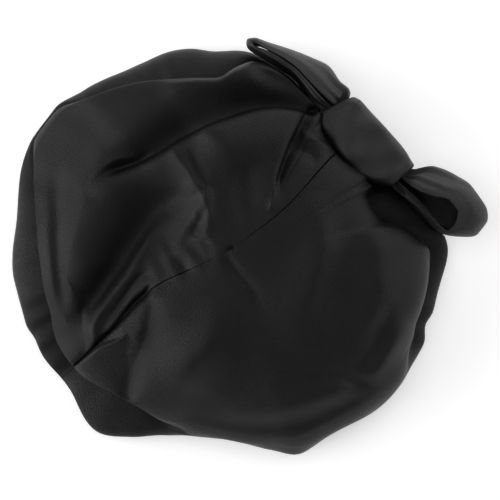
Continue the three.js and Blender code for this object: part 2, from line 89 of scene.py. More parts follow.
# Reach of the widest line, reach and height of the folded upper edge, how far it tucks
# under, how much of the section is lipped, and how much of it is the raised front.
SECTION_COLUMNS = ("angle", "reach", "lip", "lip_height", "tuck", "lipped", "front")
SECTIONS = np.array([
    (0, 150, 143, 42, 12, 0.9, 0),
    (9, 160, 155, 36, 8, 0.35, 0),
    (18, 161, 157, 30, 8, 0.35, 0),
    (26, 156, 147, 32, 12, 0.9, 0),
    (34, 152.5, 139, 38, 14, 1, 0),
    (45, 150.5, 132, 44, 14, 1, 0),
    (57, 152, 129, 44, 14, 1, 0),
    (70, 150, 129, 37, 13, 1, 0),
    (76, 146.5, 132, 33, 12, 1, 0),
    (82, 148.5, 135, 30, 12, 1, 0),
    (93, 151, 136, 32, 12, 1, 0),
    (104, 159, 131, 38, 14, 1, 0),
    (112, 151, 130, 36, 12, 1, 0),
    (120, 141, 131, 32, 8, 0.7, 0),
    (130, 134.5, 131, 28, 6, 0, 0),
    (150, 143.5, 135, 30, 6, 0, 0),
    (158, 151, 140, 30, 6, 0, 0),
    (166, 150, 141, 30, 6, 0, 0),
    (190, 154, 143, 30, 6, 0, 0),
    (202, 152, 143, 32, 9, 0.7, 0),
    (207, 147.5, 141, 33, 10, 0.9, 0),
    (211, 150.5, 141, 35, 12, 1, 0),
    (216, 152, 141, 37, 12, 1, 0),
    (227, 154, 140, 34, 10, 0.9, 0),
    (231, 152.5, 132, 35, 9, 0.9, 0),
    (235, 143, 121, 38, 8, 0.9, 0),
    (238, 138.5, 109, 41, 8, 1, 0),
    (242, 134, 105, 44, 8, 1, 0),
    (246, 129.2, 103, 45, 6, 1, 0),
    (249, 124, 102.5, 45, 6, 1, 0),
    (250, 119.6, 102.5, 45, 6, 0.95, 0),
    (252, 117, 109, 45, 6, 0.7, 0),
    (256, 110, 108.2, 44, 4, 0, 1),
    (262, 104.8, 104, 43, 4, 0, 1),
    (270, 101.6, 101.2, 43, 4, 0, 1),
    (275, 102.2, 101.8, 43, 4, 0, 1),
    (278, 104, 103.4, 44, 4, 0, 1),
    (280, 105.8, 104.9, 45, 4, 0, 1),
    (281.5, 111, 109, 46, 4, 0.2, 0.8),
    (283, 118, 112.4, 46, 4, 0.8, 0.25),
    (285, 121, 114.6, 45.5, 5, 1, 0.1),
    (287, 122.4, 116.6, 45, 5, 1, 0),
    (293, 125.4, 121, 44, 6, 1, 0),
    (299, 130.8, 126.4, 43, 6, 1, 0),
    (305, 135.2, 130.6, 43, 7, 1, 0),
    (310, 138.5, 132, 44, 8, 0.9, 0),
    (315, 140, 127, 46, 9, 0.9, 0),
    (322, 141, 119, 50, 12, 1, 0),
    (329, 144.5, 121, 50, 12, 1, 0),
    (336, 145.5, 124, 50, 12, 1, 0),
    (347, 146.5, 132, 47, 12, 1, 0),
], dtype=float)

# Sideways run of the middle seam, seen from above: (y, x).
SEAM = np.array([(-160, 0), (-98, -1), (-45, -6), (-7, -3), (22, 4), (60, 14), (95, 12), (160, 11)],
                dtype=float)
SEAM_SPREAD = 70.0  # how far to its sides the cloth follows it

# Folds of the crown's upper side: name, crispness, lean and line. Crispness says how the sides
# fall away (2 is round, 1 comes to an edge), and lean how far the cloth on the left hangs over
# the line. At each place of the line: x and y seen from above, height (a valley is negative),
# and width to the left and to the right of the way it runs.
FOLDS = (
    # the left panel, from its rim inwards
    ("lip_swale", 2, 0, ((130, 40, 0, 5, 6), (114, 58, -0.8, 5, 6), (97, 74, -1.5, 5, 6),
                         (80, 88, -1.5, 5, 6), (66, 99, -1.5, 5, 5), (53, 108, -1, 4, 5),
                         (40, 116, 0, 4, 4))),
    ("lip_ridge", 1.8, 0, ((118, 66, 0, 5, 5), (102, 76, 1, 5, 5), (88, 89, 1.6, 5, 5),
                           (68, 104, 1.6, 4, 5), (55, 113, 1, 4, 4), (42, 120, 0, 4, 4))),
    ("outer_ridge", 1.8, 0, ((96, -70, 0, 8, 7), (104, -52, 1.5, 9, 9), (106, -32, 1.8, 10, 12),
                             (107, -12, 1.8, 11, 13), (107, 12, 1.8, 11, 12), (104, 29, 2, 10, 11),
                             (98, 44, 2, 9, 10), (88, 57, 2, 9, 9), (79, 71, 1.8, 8, 8),
                             (69, 86, 1.5, 7, 7), (58, 99, 0, 6, 6))),
    ("long_valley", 1.7, 6, ((32, -106, -9, 4, 8), (42, -99, -15, 4, 11), (52, -89, -18, 4.5, 14),
                             (61, -76, -18, 5, 16), (69, -58, -17, 5, 17), (75, -41, -17, 5, 17),
                             (79, -25, -16, 5, 17), (82, -9, -14, 5, 16), (86, 5, -11, 5, 14),
                             (92, 20, -7, 5, 11), (98, 36, -3, 5, 7), (99, 48, 0, 5, 6))),
    ("front_swell", 2, 0, ((56, -110, 0, 8, 8), (72, -102, 5, 12, 8), (88, -88, 9, 14, 12),
                           (99, -71, 9, 14, 14), (106, -52, 5, 12, 12), (110, -36, 0, 10, 10))),
    ("apex_dimple", 2, 0, ((86, -94, 0, 4, 5), (78, -98, -4, 5, 6), (70, -101, -5, 5, 7),
                           (62, -105, -4, 5, 6), (54, -109, 0, 4, 5))),
    ("shelf_edge", 1.4, 0, ((86, 4, 0, 5, 2.5), (91, 8, 2, 5, 2.5), (98, 18, 3, 6, 3),
                            (99, 35, 2, 6, 4), (94, 48, 0, 6, 5))),
    ("shelf_pocket", 2, 0, ((97, 30, 0, 3, 3), (93, 22, -2.5, 4, 4), (88, 12, -3, 4, 4),
                            (85, 2, -2, 4, 3), (86, -6, 0, 3, 3))),
    ("centre_bulge", 2, 0, ((100, -50, 0, 14, 12), (76, -46, 6, 18, 12), (58, -44, 9, 20, 12),
                            (46, -54, 8, 20, 12), (36, -76, 4, 12, 10), (30, -96, 0, 8, 8))),
    ("star_ridge", 1.8, 0, ((80, -26, 0, 4, 4), (74, -18, 1.5, 4, 4), (65, -15, 1.8, 4, 5),
                            (56, -15, 1.8, 4, 5), (49, -13, 1.8, 4, 5), (47, -5, 1.5, 4, 5),
                            (52, 2, 0, 4, 5))),
    ("star_line", 1.7, 0, ((66, -26, 0, 4, 3), (58, -22, -2, 4, 3), (50, -19, -2.5, 4, 3),
                           (43, -18, -2, 4, 3), (36, -20, 0, 4, 3))),
    ("hollow_ledge", 1.4, 0, ((94, 46, 0, 20, 6), (87, 37, 1.5, 26, 7), (73, 19, 2.2, 26, 8),
                              (61, 4, 2.2, 26, 8), (53, -5, 1.5, 20, 7), (46, -12, 0, 12, 6))),
    ("side_hollow", 2, 0, ((46, -12, 0, 22, 14), (50, 2, -9, 30, 21), (50, 16, -15, 36, 26),
                           (48, 30, -17, 38, 26), (45, 44, -17, 38, 25), (42, 57, -16, 36, 24),
                           (38, 72, -15, 30, 21), (35, 87, -12, 24, 18), (34, 99, -8, 17, 14),
                           (36, 109, -3, 8, 8), (39, 118, 0, 5, 6))),
    ("hollow_edge", 1.6, 0, ((47, -8, 0, 7, 10), (51, 3, -3, 8, 14), (52, 15, -4.5, 9, 17),
                             (51, 29, -5.5, 9, 18), (48, 43, -6, 8, 18), (45, 53, -6.5, 8, 17),
                             (41, 64, -6.5, 7, 16), (38, 76, -5.5, 7, 14), (35, 89, -4.5, 6, 11),
                             (34, 99, -3, 5, 8), (36, 108, 0, 4, 5))),
    ("plateau_swell", 2, 0, ((92, 20, 0, 12, 10), (84, 34, 2, 14, 12), (74, 52, 3, 14, 12),
                             (64, 68, 3, 12, 12), (54, 84, 3, 10, 10), (44, 98, 0, 8, 8))),
    ("middle_shoulder", 1.8, 0, ((42, -6, 0, 8, 6), (39, 6, 1.5, 9, 6), (37, 18, 2, 9, 6),
                                 (32, 30, 0, 8, 7))),
    ("pucker_ridge", 1.6, 0, ((47, 14, 0, 7, 5), (44, 26, 2, 7, 5), (41, 38, 3, 7, 5),
                              (38, 49, 4.5, 6, 5.5), (34, 61, 6, 6, 7), (31, 78, 6.5, 6, 7),
                              (28, 92, 6, 5, 6), (25, 101, 4.5, 4, 5), (20, 109, 3, 4, 5),
                              (11, 115, 0, 4, 5))),
    ("pucker_line", 1.7, 0, ((22, 52, 0, 2.5, 2.5), (26, 58, -1.5, 2.5, 2.5), (25, 68, -1.8, 2.5, 2.5),
                             (22, 79, -1.8, 2.5, 2.5), (20, 90, -1.6, 2.5, 2.5),
                             (17, 101, -1, 2.5, 2.5), (14, 108, 0, 2, 2))),
    ("back_crease", 1.6, 2, ((18, 57, 0, 3, 2), (15, 63, -5, 3.4, 2.5), (15, 73, -6, 3.4, 2.5),
                             (13.5, 85, -5, 3, 2.5), (12, 97, -3.5, 2.5, 2), (12, 108, -3, 2, 2),
                             (11, 121, -3, 2, 2.5), (12, 134, -2.5, 2, 3), (14, 144, 0, 2, 4))),
    ("facet_edge", 1.4, 0, ((40, 101, 0, 3, 6.5), (34, 107, -2.5, 3, 8), (25, 113, -3, 3, 9),
                            (17, 118, -2.5, 3, 8), (13, 128, -1.5, 4.5, 6.5), (12, 142, 0, 4.5, 6.5))),
    # pleats that run to the middle seam
    ("pleat_one", 1.5, 0, ((45, -24, 0, 3, 3.5), (39, -15, 2.5, 3, 5), (34, -8, 3, 3, 5),
                           (30, 4, 3, 3.5, 6), (28, 16, 2.5, 3.5, 6), (22, 26, 1.5, 3.5, 5),
                           (14, 32, 0, 3.5, 3.5))),
    ("pleat_two", 1.5, 0, ((40, -22, 0, 2.5, 3.5), (32, -12, 2, 2.5, 3.5), (24, -4, 2.5, 3, 3.5),
                           (18, 7, 2, 3, 3.5), (19, 16, 1.5, 2.5, 3.5), (22, 24, 0, 2.5, 2.5))),
    ("pleat_pocket", 2, 0, ((34, -6, 0, 2.5, 2.5), (29, 0, -2.5, 3, 3), (25, 6, -2.5, 3, 3),
                            (22, 14, 0, 2.5, 2.5))),
    ("pleat_three", 1.5, 0, ((22, 20, 0, 2.5, 2.5), (19, 23, 1, 2.5, 3), (11, 24, 1.3, 2.5, 3),
                             (3, 25, 1, 2.5, 3), (-1, 26, 0, 2.5, 2.5))),
    ("pleat_four", 1.6, 0, ((36, 28, 0, 3, 3.5), (31, 33, 1, 3, 3.5), (20, 37, 1.3, 3, 4),
                            (8, 40, 0.9, 3, 4), (1, 42, 0, 3, 3.5))),
    ("pleat_five", 1.6, 0, ((20, 9, 0, 2.5, 2.5), (14, 13, 0.7, 2.5, 2.5), (8, 14, 0.7, 2.5, 2.5),
                            (1, 14, 0, 2.5, 2.5))),
    ("pleat_six", 1.8, 0, ((34, 42, 0, 5, 4), (27, 47, 1, 5, 4), (19, 49, 1, 5, 4),
                           (12, 49, 0, 5, 3.5))),
    ("pleat_dent", 1.8, 0, ((22, 30, 0, 3.5, 3.5), (14, 31, -2, 3.5, 3.5), (9, 32, -2, 3.5, 3),
                            (4, 31, 0, 2.5, 2.5))),
    ("middle_dip", 2, 0, ((36, -52, 0, 8, 8), (26, -40, -4, 10, 9), (14, -28, -4, 10, 9),
                          (2, -16, 0, 8, 8))),
    # creases behind the bow
    ("front_fold", 1.5, 3, ((2, -42, 0, 3, 4), (6, -51, -3, 3, 4), (12, -58, -6, 3, 5),
                            (18, -68, -8, 3, 8), (24, -80, -10, 3, 10), (29, -93, -9, 3, 10),
                            (33, -106, -5, 3, 7))),
    ("fold_ridge", 1.6, 0, ((-2, -36, 0, 2.5, 5), (3, -43, 2.5, 2.5, 5), (7, -50, 2.5, 2.5, 5),
                            (13, -58, 0, 2.5, 5))),
    ("facet_line", 1.2, 0, ((26, -90, 0, 2, 4), (20, -92, 2, 2, 6), (12, -96, 2, 2, 6),
                            (6, -99, 2, 2, 6), (0, -102, 0, 2, 4))),
    ("facet_pocket", 2, 0, ((2, -86, 0, 4, 4), (10, -85, -3, 4, 5), (18, -82, -3, 4, 5),
                            (24, -74, 0, 4, 4))),
    # the right panel
    ("right_crease", 1.6, 0, ((4, 6, 0, 3, 3), (-6, 6, -2.5, 3, 4), (-18, 7, -3, 4, 5),
                              (-30, 7, -2.5, 5, 6), (-42, 10, -1.5, 7, 8), (-54, 18, 0, 8, 8))),
    ("right_swell", 1.8, 0, ((-12, -72, 0, 10, 12), (-28, -60, 3, 10, 14), (-42, -50, 5, 10, 16),
                             (-52, -36, 5, 10, 16), (-62, -18, 4.5, 11, 18), (-72, 0, 3, 14, 18),
                             (-82, 18, 0, 14, 14))),
    ("side_swell", 1.8, 0, ((-48, -92, 0, 10, 10), (-64, -80, 3.5, 12, 12), (-82, -66, 4, 13, 14),
                            (-98, -52, 4, 12, 14), (-108, -36, 3.5, 9, 12), (-114, -22, 2.5, 6, 10),
                            (-112, -6, 0, 6, 8))),
    ("back_swell", 1.8, 0, ((-16, 30, 0, 10, 10), (-30, 40, 5, 15, 15), (-38, 52, 9, 18, 18),
                            (-43, 64, 11, 18, 19), (-46, 80, 9.5, 18, 19), (-51, 94, 4, 15, 17),
                            (-60, 110, 0, 13, 11.5))),
    ("back_fold", 2, 0, ((8, 60, 0, 6, 4), (2, 69, -2, 9, 4), (-6, 80, -3, 12, 4.5),
                         (-12, 91, -3, 12, 5), (-18, 104, -2.5, 11, 5), (-26, 118, -2, 9, 5),
                         (-36, 132, 0, 7, 5))),
    ("flap_edge", 1.4, 0, ((2, 92, 0, 6, 1.5), (3, 100, 4, 13, 1.8), (7, 112, 5, 16, 2),
                           (9, 124, 5, 16, 2), (10, 135, 3, 12, 2), (15, 142, 0, 8, 3))),
    ("flap_valley", 1.7, 0, ((2, 92, 0, 5, 8), (-4, 99, -4.5, 7, 14), (-12, 106, -6, 8, 18),
                             (-20, 113, -6, 8, 18), (-28, 120, -4, 7, 14), (-36, 126, 0, 5, 8))),
    ("side_dimple", 2, 0, ((-104, -60, 0, 5, 6), (-110, -46, -3, 5, 7), (-115, -34, -4, 5, 7),
                           (-118, -22, -3, 5, 7), (-120, -8, 0, 5, 6))),
    ("side_knuckle", 2, 0, ((-118, -62, 0, 6, 5), (-125, -46, 3, 7, 6), (-130, -32, 4, 8, 6),
                            (-133, -18, 3, 7, 6), (-138, -8, 0, 6, 5))),
    ("side_notch", 1.8, 0, ((-108, 10, 0, 5, 4), (-118, 2, -2, 5, 4), (-127, -2, -3, 6, 4),
                            (-133, -8, -2, 5, 4), (-140, -14, 0, 4, 4))),
    ("low_swell", 2, 0, ((-74, 78, 0, 10, 12), (-92, 62, 3, 12, 14), (-107, 44, 4, 12, 14),
                         (-118, 26, 4, 11, 12), (-124, 10, 3, 8, 10), (-120, -4, 0, 7, 8))),
    ("rim_swale", 2, 0, ((-62, 104, 0, 7, 7), (-88, 88, -2.5, 7, 7), (-108, 68, -3.5, 7, 8.5),
                         (-124, 44, -4, 7, 8.5), (-133, 20, -3.5, 7, 7), (-140, 0, -2.5, 6, 6),
                         (-140, -16, 0, 6, 6))),
    ("rim_welt", 2, 0, ((-66, 116, 0, 4, 4), (-83, 101, 1.5, 4, 3.5), (-104, 83, 2, 4, 3.5),
                        (-124, 61, 2.5, 4, 3.5), (-136, 38, 2.5, 4, 3.5), (-143, 14, 2, 4, 3.5),
                        (-148, -6, 0, 4, 3.5))),
)

# ------------------------------------------------------------------ curves through tables
def through_rows(keys, values, at, period=0.0):
    """Cubic steps through (key, value) rows that never overshoot: slopes are the harmonic
    mean of the steps before and after a row, and level where the steps change sign."""
    keys, values = np.asarray(keys, float), np.asarray(values, float)
    at = np.asarray(at, float)
    if period:
        at = np.mod(at - keys[0], period) + keys[0]
        keys = np.concatenate([[keys[-1] - period], keys, keys[:2] + period])
        values = np.concatenate([values[-1:], values, values[:2]])
    step = np.diff(values) / np.diff(keys)
    before, after = step[:-1], step[1:]
    both = np.where(before + after == 0, 1, before + after)
    inner = np.where(before * after > 0, 2 * before * after / both, 0)
    slope = np.concatenate([step[:1], inner, step[-1:]])
    at = np.clip(at, keys[0], keys[-1])
    i = np.clip(np.searchsorted(keys, at, side="right") - 1, 0, len(keys) - 2)
    width = keys[i + 1] - keys[i]
    u = (at - keys[i]) / width
    return ((2 * u**3 - 3 * u**2 + 1) * values[i] + (u**3 - 2 * u**2 + u) * slope[i] * width
            + (3 * u**2 - 2 * u**3) * values[i + 1] + (u**3 - u**2) * slope[i + 1] * width)


def section_value(column, angle):
    """A column of the crown's sections at directions in degrees."""
    return through_rows(SECTIONS[:, 0], SECTIONS[:, SECTION_COLUMNS.index(column)], angle, 360)


def smooth(value, low, high):
    """0 below low, 1 above high, and 3u^2 - 2u^3 between."""
    u = np.clip((value - low) / (high - low), 0, 1)
    return u * u * (3 - 2 * u)


def mix(a, b, share):
    """a where share is 0, b where it is 1, and in a straight line between."""
    return a + (b - a) * share


def signed_power(value, power):
    """The power of a number's size, with its sign kept: |v|^power * sign v."""
    return np.sign(value) * np.abs(value) ** power


def bezier(points, u):
    """Cubic Bezier curve of four (r, z) points a, b, c and d, each number one for all u or one
    for each: (1-u)^3 a + 3u(1-u)^2 b + 3u^2(1-u) c + u^3 d."""
    weights = ((1 - u) ** 3, 3 * u * (1 - u) ** 2, 3 * u * u * (1 - u), u**3)
    return [sum(w * p[k] for w, p in zip(weights, points)) for k in (0, 1)]


def spline(points, steps):
    """Catmull-Rom curve through the points, steps places on each stretch: a cubic whose slope
    at a point is half the way from the point before to the point after."""
    p = np.asarray(points, float)
    p = np.concatenate([2 * p[:1] - p[1:2], p, 2 * p[-1:] - p[-2:-1]])
    t = np.linspace(0, 1, steps, endpoint=False)[:, None]
    curve = [0.5 * ((2 * b) + (c - a) * t + (2 * a - 5 * b + 4 * c - d) * t**2
                    + (3 * b - 3 * c + d - a) * t**3)
             for a, b, c, d in zip(p, p[1:], p[2:], p[3:])]
    return np.concatenate(curve + [p[-2:-1]])


# ------------------------------------------------------------------ the crown's surface
def band_top(angle):
    """Height of the band's upper edge, with its rise where the section is front."""
    return BAND_HEIGHT + BAND_RISE * section_value("front", angle)


def band_outer(angle, share=1.0):
    """Radius of the band's outer face at a share of its height, without gathers."""
    return BAND_RADIUS + BAND_LEAN * section_value("front", angle) * share


def dome(reach, base, turn, angle):
    """From the top at turn 0 to the edge at a quarter turn. At share = sin^k of the reach it is
    down by 1 - cos^k where it is full, and by share^n where it is flat."""
    sine, cosine = np.clip(np.sin(turn), 0, 1), np.clip(np.cos(turn), 0, 1)
    share = sine**SQUARENESS
    flat = 0.5 + 0.5 * np.cos(np.radians(angle - FLAT_SIDE))
    left = mix(cosine**SQUARENESS, 1 - share**SLOPE_POWER, flat)
    return [reach * share, base + (CROWN_TOP - base) * left]


def joined(s, *stretches):
    """Picks for each s the first stretch whose upper limit it doesn't pass."""
    limits = [s <= limit for limit, _ in stretches]
    return [np.select(limits, [curve[k] for _, curve in stretches]) for k in (0, 1)]


def lying(reach, angle, s):
    """From the turn at the surface, in along it until s = 3.5, and then by a curve that starts
    level up onto the band's edge."""
    flat = [mix(reach - UNDER_ROLL, FLOOR_INNER, np.clip((s - 3) * 2, 0, 1)), 0 * s]
    end = [band_outer(angle) - 2, band_top(angle) + BAND_GAP]
    rise = bezier([[FLOOR_INNER + 0 * s, 0 * s], [FLOOR_INNER - 9 + 0 * s, 0 * s],
                   [end[0] + 8, end[1] + 5], end], np.clip((s - 3.5) * 2, 0, 1))
    return joined(s, (3.5, flat), (9, rise))


def plain_section(reach, angle, s):
    """A full dome, 66 degrees of its turn by s = 1 and all 90 by s = 2.4, that then turns under
    to the surface in a quarter of an ellipse."""
    quarter, most = math.radians(90), math.radians(66)
    upper = dome(reach, BULGE_HEIGHT, most * s, angle)
    lower = dome(reach, BULGE_HEIGHT, most + (quarter - most) * (s - 1) / 1.4, angle)
    turn = quarter * np.clip((s - 2.4) / 0.6, 0, 1)
    under = [reach - UNDER_ROLL * (1 - np.cos(turn)), BULGE_HEIGHT * (1 - np.sin(turn))]
    return joined(s, (1, upper), (2.4, lower), (3, under), (9, lying(reach, angle, s)))


def lipped_section(reach, lip, lip_height, tuck, angle, s):
    """A dome folded over at its edge in a quarter of an ellipse, with the layer below it
    reaching further out and rolling under to the surface. Beside the bow that layer is higher
    by PUFF_BESIDE_BOW * exp(-(gap / PUFF_SPREAD)^2), gap in degrees."""
    quarter = math.radians(90)
    upper = dome(lip, lip_height, quarter * s, angle)
    turn = quarter * (s - 1)
    under_lip = [lip - tuck * (1 - np.cos(turn)), lip_height - LIP_DROP * np.sin(turn)]
    start = [lip - tuck, lip_height - LIP_DROP]
    puff = PUFF_BESIDE_BOW * np.exp(-((angle % 360 - PUFF_SIDE) / PUFF_SPREAD) ** 2)
    edge = [reach, LAYER_HEIGHT + puff + 0 * s]
    layer = bezier([start, [start[0] - 6, start[1] - 5], [reach - 1, start[1] - 3], edge],
                   np.clip((s - 2) / 0.6, 0, 1))
    low = quarter * np.clip((s - 2.6) / 0.4, 0, 1)
    under = [reach - UNDER_ROLL * (1 - np.cos(low)), edge[1] * (1 - np.sin(low))]
    return joined(s, (1, upper), (2, under_lip), (2.6, layer), (3, under),
                  (9, lying(reach, angle, s)))


def front_section(lip, lip_height, angle, s):
    """A dome whose edge goes straight down to the band behind the bow."""
    upper = dome(lip, lip_height, math.radians(90) * s, angle)
    end = [band_outer(angle) - 0.5, band_top(angle) + BAND_GAP]
    down = bezier([[lip, lip_height], [lip, lip_height - 5], [end[0], end[1] + 5], end],
                  np.clip((s - 1) / 3, 0, 1))
    return joined(s, (1, upper), (9, down))


def fold_moves(x, y, folds=FOLDS):
    """How the folds move each point (x, y): up by height * exp(-gap^crispness), with gap the
    distance to the nearest place of the fold's line in widths of that side, and, left of the
    line, over it by lean * (1 - exp(-gap^2)) * exp(-(gap / 4)^2), in proportion to the height."""
    moves = np.zeros((3,) + x.shape)
    for _, crisp, lean, line in folds:
        path = spline(line, 6)
        margin = 4 * path[:, 3:].max() + 2 * lean
        low, high = path[:, :2].min(0) - margin, path[:, :2].max(0) + margin
        near = (x > low[0]) & (x < high[0]) & (y > low[1]) & (y < high[1])
        here = np.stack([x[near], y[near]], -1)[:, None]
        along = np.diff(path[:, :2], axis=0)[None]
        off = here - path[None, :-1, :2]
        u = np.clip((off * along).sum(-1) / (along**2).sum(-1), 0, 1)
        gap = np.linalg.norm(off - u[..., None] * along, axis=-1)
        i = gap.argmin(1)
        every = np.arange(len(i))
        way = along[0, i] / np.linalg.norm(along[0, i], axis=-1, keepdims=True)
        left_of = way[:, 0] * off[every, i, 1] - way[:, 1] * off[every, i, 0] > 0
        height, left, right = mix(path[i, 2:], path[i + 1, 2:], u[every, i][:, None]).T
        gap = gap[every, i]
        moves[2][near] += height * np.exp(-((gap / np.where(left_of, left, right)) ** crisp))
        if lean:
            share = np.abs(height) / np.abs(path[:, 2]).max()
            widths = gap / left
            shift = lean * share * left_of * (1 - np.exp(-(widths**2))) * np.exp(-((widths / 4) ** 2))
            moves[0][near] += shift * way[:, 1]
            moves[1][near] -= shift * way[:, 0]
    return moves


def crown_surface(angle, s):
    """Points of the crown's outer face: angle in degrees, s from 0 in the middle to 1 at the
    upper edge, 3 at the surface it lies on, and 4 at the band. The three kinds of section are
    mixed by the table's shares; then come ruffles (sums of cosines of the angle), the seam's
    run to the side, which fades as exp(-(x / SEAM_SPREAD)^2), and the folds."""
    reach, lip, lip_height, tuck, lipped, front = (
        section_value(column, angle) for column in SECTION_COLUMNS[1:])
    plain = plain_section(reach, angle, s)
    over = lipped_section(reach, lip, lip_height, tuck, angle, s)
    fore = front_section(lip, lip_height, angle, s)
    r, z = (mix(mix(p, o, lipped), f, front) for p, o, f in zip(plain, over, fore))
    turn = np.radians(angle)
    # Ruffles of the hanging side, and gathers where the cloth comes up to the band.
    ruffled = smooth(np.abs(angle % 360 - BOW_SIDE), *CALM_SIDE)
    side = smooth(s, 1.6, 2.4) * (1 - smooth(s, 2.6, 3)) * ruffled
    r = r + side * (1.2 * np.cos(14 * turn) + 0.8 * np.cos(9 * turn + 0.7))
    z = z + side * (1.2 * np.cos(23 * turn + 1.5 * np.sin(3 * turn))
                    + 0.8 * np.cos(41 * turn + 2 * np.sin(5 * turn)))
    near_band = smooth(s, 3.45, 3.7) * (1 - smooth(s, 3.85, 4)) * (1 - front)
    gathers = np.cos(58 * turn + 2 * np.sin(3 * turn)) + 0.6 * np.cos(83 * turn + 3 * np.sin(5 * turn))
    z = z + near_band * (1.6 + gathers)
    x, y = r * np.cos(turn), r * np.sin(turn)
    follow = (1 - smooth(s, 2.4, 3.2)) * np.exp(-((x / SEAM_SPREAD) ** 2))
    x = x + follow * through_rows(SEAM[:, 0], SEAM[:, 1], y)
    moves = fold_moves(x, y) * (1 - smooth(s, 0.8, 1.05))
    return np.stack([x + moves[0], y + moves[1], z + moves[2]], -1)


# ------------------------------------------------------------------ meshes from grids
def corners_of(index, pole):
    """The corner numbers of a grid's quads, and of the triangles around its pole."""
    first = 1 if pole else 0
    quads = np.stack([index[:-1, first:-1], index[:-1, first + 1:],
                      index[1:, first + 1:], index[1:, first:-1]], -1).reshape(-1, 4)
    fan = np.stack([index[:-1, 0], index[:-1, 1], index[1:, 1]], -1) if pole else np.empty((0, 3), int)
    return quads, fan


def grid_object(name, points, cloth, close_rows=False, pole=False):
    """An object from points[i, j], in millimetres from the crown's middle: quads between
    neighbours, with the rows closed into a ring, and the first column drawn together into one
    point, where asked. cloth[i, j] is its UV, with one row more if the rows are closed."""
    rows, columns = points.shape[:2]
    index = np.arange(rows * columns).reshape(rows, columns)
    if pole:
        index[:, 0] = 0
    if close_rows:
        index = np.concatenate([index, index[:1]])
    quads, fan = corners_of(index, pole)
    used, corners = np.unique(np.concatenate([quads.ravel(), fan.ravel()]), return_inverse=True)
    places = (points.reshape(-1, 3)[used] + MIDDLE) * MM
    mesh = bpy.data.meshes.new(name)
    mesh.vertices.add(len(used))
    mesh.vertices.foreach_set("co", places.ravel())
    mesh.loops.add(len(corners))
    mesh.loops.foreach_set("vertex_index", corners)
    sizes = np.concatenate([np.full(len(quads), 4), np.full(len(fan), 3)])
    mesh.polygons.add(len(sizes))
    mesh.polygons.foreach_set("loop_start", np.concatenate([[0], np.cumsum(sizes)[:-1]]))
    flat_quads, flat_fan = corners_of(np.arange(cloth.shape[0] * columns).reshape(-1, columns), pole)
    layer = mesh.uv_layers.new(name="cloth")
    flat = cloth.reshape(-1, 2)[np.concatenate([flat_quads.ravel(), flat_fan.ravel()])]
    layer.data.foreach_set("uv", flat.ravel())
    mesh.update()
    mesh.shade_smooth()
    made = bpy.data.objects.new(name, mesh)
    bpy.context.scene.collection.objects.link(made)
    return made


def thicken(piece, thickness):
    """Gives a one-sided sheet its wall, inwards from the face that shows."""
    wall = piece.modifiers.new("cloth_wall", "SOLIDIFY")
    wall.thickness = thickness * MM
    wall.offset = -1


def cloth_lengths(points):
    """Distance along each row of points, the running sum of its steps, in metres."""
    step = np.linalg.norm(np.diff(points, axis=1), axis=-1)
    return np.concatenate([np.zeros((len(points), 1)), np.cumsum(step, 1)], 1) * MM


